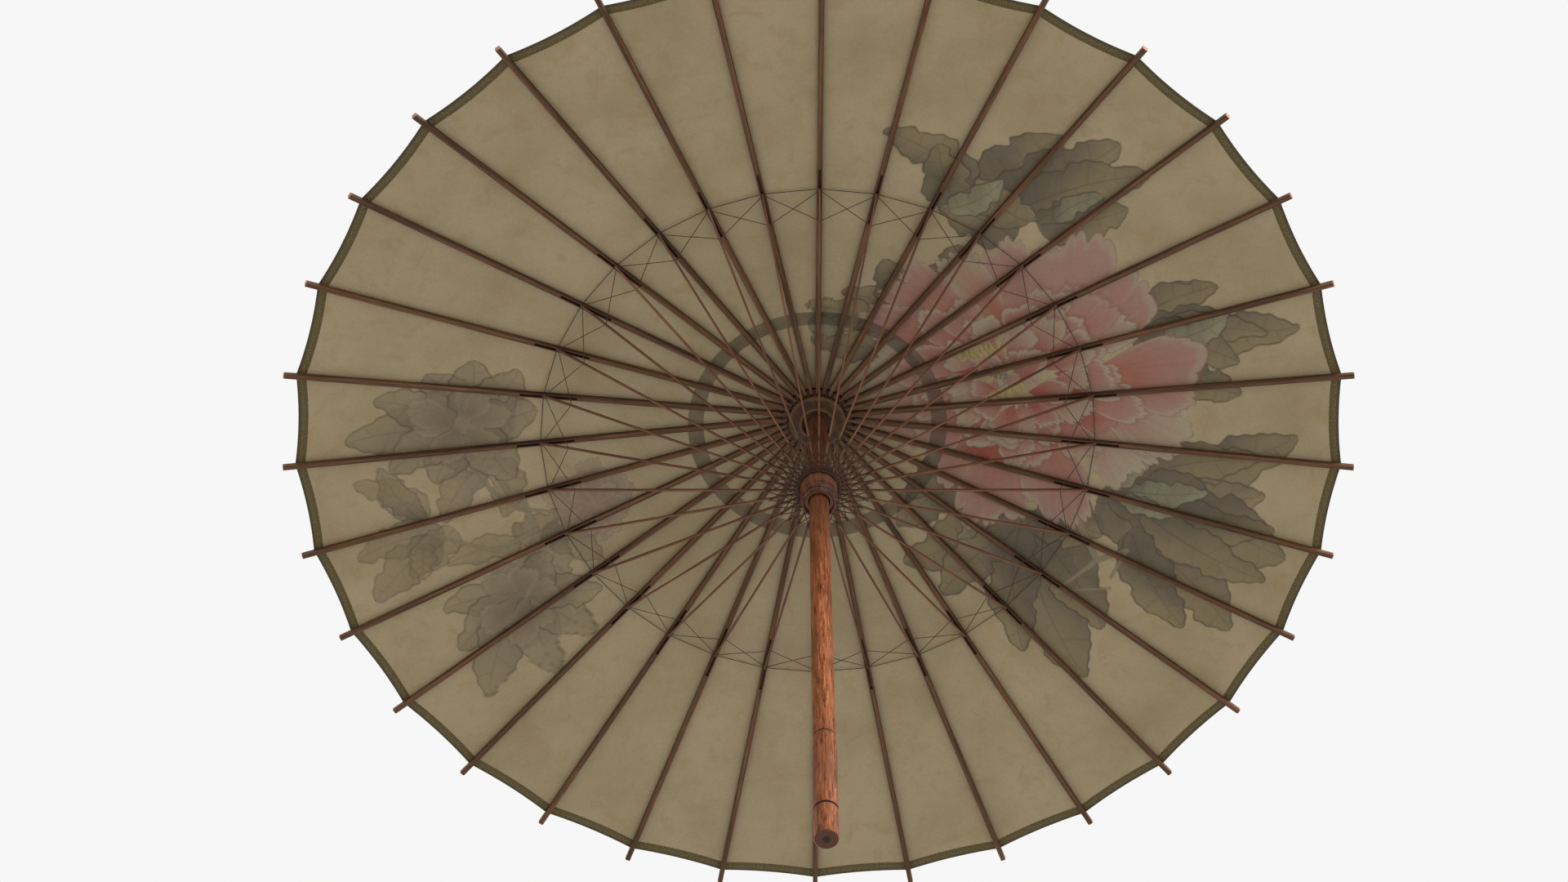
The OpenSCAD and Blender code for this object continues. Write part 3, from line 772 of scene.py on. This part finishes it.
def paint_small_blooms(p):
    """Two grey flowers and a pink bud, which show faintly through the paper."""
    rng = np.random.default_rng(11)
    for centre, size, deep, pale in (((-282, -22), 44, GREY, SILVER), ((-242, 142), 44, GREY, SILVER),
                                     ((-182, 56), 32, DUSK, FADED)):
        p.petal(centre, 0, size, 179, deep, pale, 9, rim=0.0)
    upper = [((-286, -18), 178, 86, 44), ((-286, -26), -158, 66, 38), ((-284, -30), -118, 46, 40),
             ((-276, -32), -82, 48, 42), ((-268, -30), -48, 50, 40), ((-266, -24), -8, 44, 42),
             ((-280, -14), 120, 50, 38), ((-286, -16), 150, 62, 40), ((-268, -14), 62, 52, 40)]
    lower = [((-242, 136), 172, 64, 34), ((-242, 140), 140, 68, 40), ((-244, 142), 108, 92, 44),
             ((-236, 140), 74, 76, 40), ((-232, 138), 38, 64, 38), ((-232, 134), 4, 56, 34),
             ((-238, 132), -60, 36, 34)]
    grey, silver = np.array(srgb(*GREY)), np.array(srgb(*SILVER))
    for n, (base, heading, length, width) in enumerate(upper + lower):
        a = math.radians(heading)
        tip = (base[0] + length * math.cos(a), base[1] + length * math.sin(a))
        p.leaf(base, tip, width, 0.2 + 0.13 * (n % 5), 0.05, 1.5, grey, silver)
    p.burst(rng, (-282, -24), 7, 6, 32, 40, GREY, SILVER, 15, rim=0.15)
    p.burst(rng, (-242, 144), 6, 6, 32, 42, GREY, SILVER, 40, rim=0.15)
    p.burst(rng, (-182, 56), 8, 8, 32, 34, DUSK, FADED, 10, rim=0.3)
    p.burst(rng, (-180, 60), 6, 4, 22, 38, DUSK, FADED, 30, rim=0.4)


def painting_at(x, y):
    """Colour and cover of the painting at points of the paper, which are in metres."""
    p = Painting(x / MM, y / MM)
    p.strength = 0.6
    paint_faint_leaves(p)
    p.strength = 1.0
    paint_leaves(p)
    paint_stems(p)
    p.strength = 0.8
    paint_small_blooms(p)
    p.strength = 1.0
    paint_great_bloom(p)
    return np.concatenate([p.colour, p.cover[:, None]], axis=1)


# ---------------------------------------------------------------- paper and tape

def edge_radius(t):
    """Radius of the paper's edge. t runs from -1 to 1 across a strip, with its rib at 0."""
    return CANOPY_R - SCALLOP * (1 - (1 - np.abs(t)) ** 2)


def paper_points(k, radius, t, rise):
    """Points over rib k's strip: flat and taut between the ribs, with a slight sag half way."""
    off = np.abs(t) * STEP / 2
    rib_radius = radius * np.cos(STEP / 2 - off) / math.cos(STEP / 2)
    base = HINGE_Z + (RIB_TOP + PAPER_GAP) / math.cos(RIB_SLOPE)
    sag = PAPER_SAG * (1 - (1 - np.abs(t)) ** 2) * np.clip((radius - CANOPY_IN_R) / 0.15, 0, 1)
    z = base - (rib_radius - HINGE_R) * math.tan(RIB_SLOPE) - sag + rise
    angle = azimuth(k) + t * STEP / 2
    return np.stack([radius * np.cos(angle), radius * np.sin(angle), z], axis=-1)


def fold_with_rib(piece, k):
    """The piece rides on long rib k."""
    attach(piece, numbered("long_rib", k))
    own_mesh(piece)


def is_painted(k):
    """Whether the flowers reach rib k's strip, which then needs a finer mesh."""
    angle = math.degrees(azimuth(k)) % 360
    return angle < 80 or angle > 270 or 140 < angle < 205


def make_paper(materials, tapes):
    """32 strips of one painted sheet. Its tapes argument is not used."""
    for k in range(1, RIBS + 1):
        rows, columns = FINE_GRID if is_painted(k) else COARSE_GRID
        s = np.linspace(0, 1, rows)[:, None]
        t = np.linspace(-1, 1, columns)[None, :]
        radius = CANOPY_IN_R + (edge_radius(t) - 1.0 * MM - CANOPY_IN_R) * s
        low = paper_points(k, radius, np.broadcast_to(t, radius.shape), 0)
        high = low + np.array([0, 0, PAPER_T])
        points, faces = closed_sheet(low, high)
        flat = low.reshape(-1, 3)
        colour = np.tile(painting_at(flat[:, 0], flat[:, 1]), (2, 1))
        attributes = [("painting", "FLOAT_COLOR", colour), ("grain", "FLOAT_VECTOR", points)]
        piece = add_mesh(numbered("paper", k), points, faces, materials["paper"], attributes)
        fold_with_rib(piece, k)
        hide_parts("canopy")


def make_tape(materials):
    """Tape folded round the paper's edge, in 32 strips."""
    section = np.array([(0, 0.35), (0.15, -0.2), (3.5, -0.32), (7.0, -0.3), (7.45, -0.1), (7.6, 0.3),
                        (7.45, 0.8), (7.0, 1.0), (3.5, 1.02), (0.15, 0.85)]) * MM
    columns = 41
    t = np.linspace(-1, 1, columns)
    tapes = []
    for k in range(1, RIBS + 1):
        rings = []
        grain = []
        for place in t:
            radius = edge_radius(place) - TAPE_W + section[:, 0]
            rings.append(paper_points(k, radius, np.full(len(section), place), section[:, 1]))
            along = np.full(len(section), (k + place / 2) * STEP * CANOPY_R)
            grain.append(np.stack([along, section[:, 0], section[:, 1]], axis=-1))
        points = np.concatenate(rings)
        ends = np.arange(len(section))
        bundle = Bundle()
        bundle.points = [points, np.array([rings[0].mean(axis=0), rings[-1].mean(axis=0)])]
        bundle.grain = [np.concatenate(grain), np.array([grain[0].mean(axis=0), grain[-1].mean(axis=0)])]
        bundle.faces = [grid_faces(columns, len(section), closed=True)]
        bundle.caps(ends, len(points), True)
        bundle.caps(ends + (columns - 1) * len(section), len(points) + 1, False)
        piece = bundle.make(numbered("tape", k), materials["tape"])
        fold_with_rib(piece, k)
        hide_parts("edge_tape")
        tapes.append(piece)
    return tapes


# ---------------------------------------------------------------- short ribs and threads

def short_point(k, radius, drop=0.0):
    """A point that lies this drop under the middle line of short rib k."""
    rise = (radius - RUNNER_HINGE_R) * math.tan(SHORT_RISE)
    return polar(azimuth(k), radius, RUNNER_HINGE_Z + rise - drop)


def fold_with_short_rib(piece, k):
    """The piece rides on the body of short rib k's pair."""
    pair, middle = pair_of(k)
    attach(piece, numbered("short_ribs", pair))
    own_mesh(piece)


def make_short_ribs(materials):
    """Split bamboo bars: a thin tongue in the runner, and a deeper head in the long rib's slot."""
    length = SHORT_LENGTH / MM
    outlines = [(-0.8, 0.6, 0.4), (-0.4, 0.65, 0.8), (10, 0.65, 0.9), (12, 0.75, 0.9)]
    outlines += [(x, 0.75, 0.9) for x in range(30, 190, 20)]
    outlines += [(length - 26, 0.75, 0.9), (length, 0.75, 1.2)]
    outlines += [(length + 0.8, 0.72, 0.9), (length + 1.1, 0.6, 0.5)]
    for k in range(1, RIBS + 1):
        wobble = 1 + 0.06 * RNG.standard_normal(len(outlines))
        wobble[:4] = 1
        wobble[-4:] = 1
        direction = polar(azimuth(k), math.cos(SHORT_RISE), math.sin(SHORT_RISE))
        start = short_point(k, RUNNER_HINGE_R)
        path = [start + direction * x * MM for x, w, h in outlines]
        sections = [rounded(w * f * MM, h * f * MM, 0.2 * MM) for (x, w, h), f in zip(outlines, wobble)]
        bundle = Bundle()
        bundle.sweep(path, sections, offset=k * 0.9)
        piece = bundle.make(numbered("short_rib", k), materials["short_rib"])
        fold_with_short_rib(piece, k)
        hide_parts(numbered("short_ribs", pair_of(k)[0]))


def make_joint_lacing(materials):
    """Threads from joint to joint, cut half way, and crosses to the short ribs, cut nearer to these."""
    for k in range(1, RIBS + 1):
        on_rib = Bundle()
        on_short = Bundle()
        for way in (-1, 1):
            here = polar(azimuth(k), JOINT_R, JOINT_Z + CROSS_LIFT)
            there = polar(azimuth(k + way), JOINT_R, JOINT_Z + CROSS_LIFT)
            on_rib.tube([here, (here + there) / 2], THREAD_R)
            lift = 0.0 if way < 0 else CROSS_LIFT
            joint = polar(azimuth(k), JOINT_R - 1 * MM, JOINT_Z + lift)
            lace = short_point(k + way, LACE_R, -lift)
            on_rib.tube([joint, joint.lerp(lace, 1 - SHORT_SHARE)], THREAD_R)
            far_lift = CROSS_LIFT - lift
            far_joint = polar(azimuth(k + way), JOINT_R - 1 * MM, JOINT_Z + far_lift)
            near_lace = short_point(k, LACE_R, -far_lift)
            on_short.tube([near_lace, near_lace.lerp(far_joint, SHORT_SHARE)], THREAD_R)
        on_short.knot(short_point(k, LACE_R), 1.0 * MM)
        piece = on_rib.make(numbered("joint_thread", k), materials["thread"])
        fold_with_rib(piece, k)
        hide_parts("lacing")
        piece = on_short.make(numbered("cross_thread", k), materials["thread"])
        fold_with_short_rib(piece, k)
        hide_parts("lacing")


def net_path(k, way, first, drop):
    """The part of a net thread from short rib k - way * first that lies nearest to rib k."""
    start = max(0.0, first - 0.5)
    end = min(NET_TURN / STEP, first + 0.5)
    path = []
    for place in np.linspace(start, end, 4):
        radius = NET_IN_R / math.cos(NET_TURN - place * STEP)
        height = short_point(k, radius, drop).z
        path.append(polar(azimuth(k) + way * (place - first) * STEP, radius, height))
    return path


def make_runner_net(materials):
    """Threads that run straight, seen from below, from each short rib to the runner's rim.

    Each rib's piece holds the parts of them all that lie nearest to that rib.
    """
    for k in range(1, RIBS + 1):
        net = Bundle()
        for way, drop in ((1, 1.5 * MM), (-1, 2.4 * MM)):
            for first in range(NET_STEPS + 1):
                net.tube(net_path(k, way, first, drop), NET_THREAD_R)
        net.knot(short_point(k, NET_OUT_R, 1.8 * MM), 1.1 * MM)
        for way in (-1, 1):
            aside = Vector(tangent(azimuth(k))) * way * 1.1 * MM
            end = short_point(k, NET_OUT_R + 2.6 * MM, 2.6 * MM) + aside
            net.tube([short_point(k, NET_OUT_R, 1.9 * MM), end], THREAD_R)
        piece = net.make(numbered("net_thread", k), materials["thread"])
        fold_with_short_rib(piece, k)
        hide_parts("lacing")


def make_rim_threads(materials):
    """Turns of thread round the runner's rim."""
    rim = Bundle()
    for radius, lift in ((15.0, -0.3), (15.9, 0.4)):
        turns = np.linspace(0, 2 * math.pi, 97)
        path = [polar(a, radius * MM, RUNNER_TOP_Z + lift * MM) for a in turns]
        rim.tube(path, NET_THREAD_R, offset=radius)
    piece = rim.make("rim_thread", materials["thread"])
    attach(piece, "runner")
    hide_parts("lacing")


def dress_frame(materials):
    """Gives the CAD nodes their materials."""
    looks = {"shaft": "shaft", "grip": "shaft", "end_cap": "shaft", "upper_hub": "hub", "hub_wire": "wire",
             "crown_cap": "lacquer", "runner": "runner", "runner_wire": "wire", "catch": "catch"}
    looks.update({numbered("long_rib", k): "rib" for k in range(1, RIBS + 1)})
    for name, look in looks.items():
        node = frame["nodes"][name]
        node.data.materials.clear()
        node.data.materials.append(materials[look])


# ---------------------------------------------------------------- stage

FLOOR_HALF = 40               # so wide that its corners don't show
FLOOR_Z = -3


def make_stage():
    half, z = FLOOR_HALF, FLOOR_Z
    corners = [(-half, -half, z), (half, -half, z), (half, half, z), (-half, half, z)]
    floor = add_mesh("floor", corners, [[0, 1, 2, 3]], Shader("floor").finish((0.86, 0.86, 0.86, 1), 0.9))
    world = bpy.data.worlds.new("studio")
    world.use_nodes = True
    world.node_tree.nodes["Background"].inputs["Color"].default_value = (0.93, 0.93, 0.93, 1)
    bpy.context.scene.world = world
    add_light("key", (2.2, -1.9, 1.1), (0, 0, 0.3), 1.5, 120)


def add_light(name, place, target, size, power):
    data = bpy.data.lights.new(name, "AREA")
    data.size = size
    data.energy = power
    light = bpy.data.objects.new(name, data)
    light.location = place
    light.rotation_euler = (Vector(target) - Vector(place)).to_track_quat("-Z", "Y").to_euler()
    bpy.context.scene.collection.objects.link(light)


def make_camera():
    """Below the umbrella, looking up into it."""
    data = bpy.data.cameras.new("camera")
    data.lens = 61.7
    data.sensor_width = 36
    camera = bpy.data.objects.new("camera", data)
    camera.location = (-0.0269, -1.0614, -1.3537)
    camera.rotation_euler = Vector((0, 0.4949, 0.8689)).to_track_quat("-Z", "Y").to_euler()
    bpy.context.scene.collection.objects.link(camera)
    bpy.context.scene.camera = camera
    bpy.context.scene.view_settings.view_transform = "Standard"


make_camera()
make_stage()
MATERIALS = make_materials()
dress_frame(MATERIALS)
make_paper(MATERIALS, make_tape(MATERIALS))
make_short_ribs(MATERIALS)
make_joint_lacing(MATERIALS)
make_runner_net(MATERIALS)
make_rim_threads(MATERIALS)
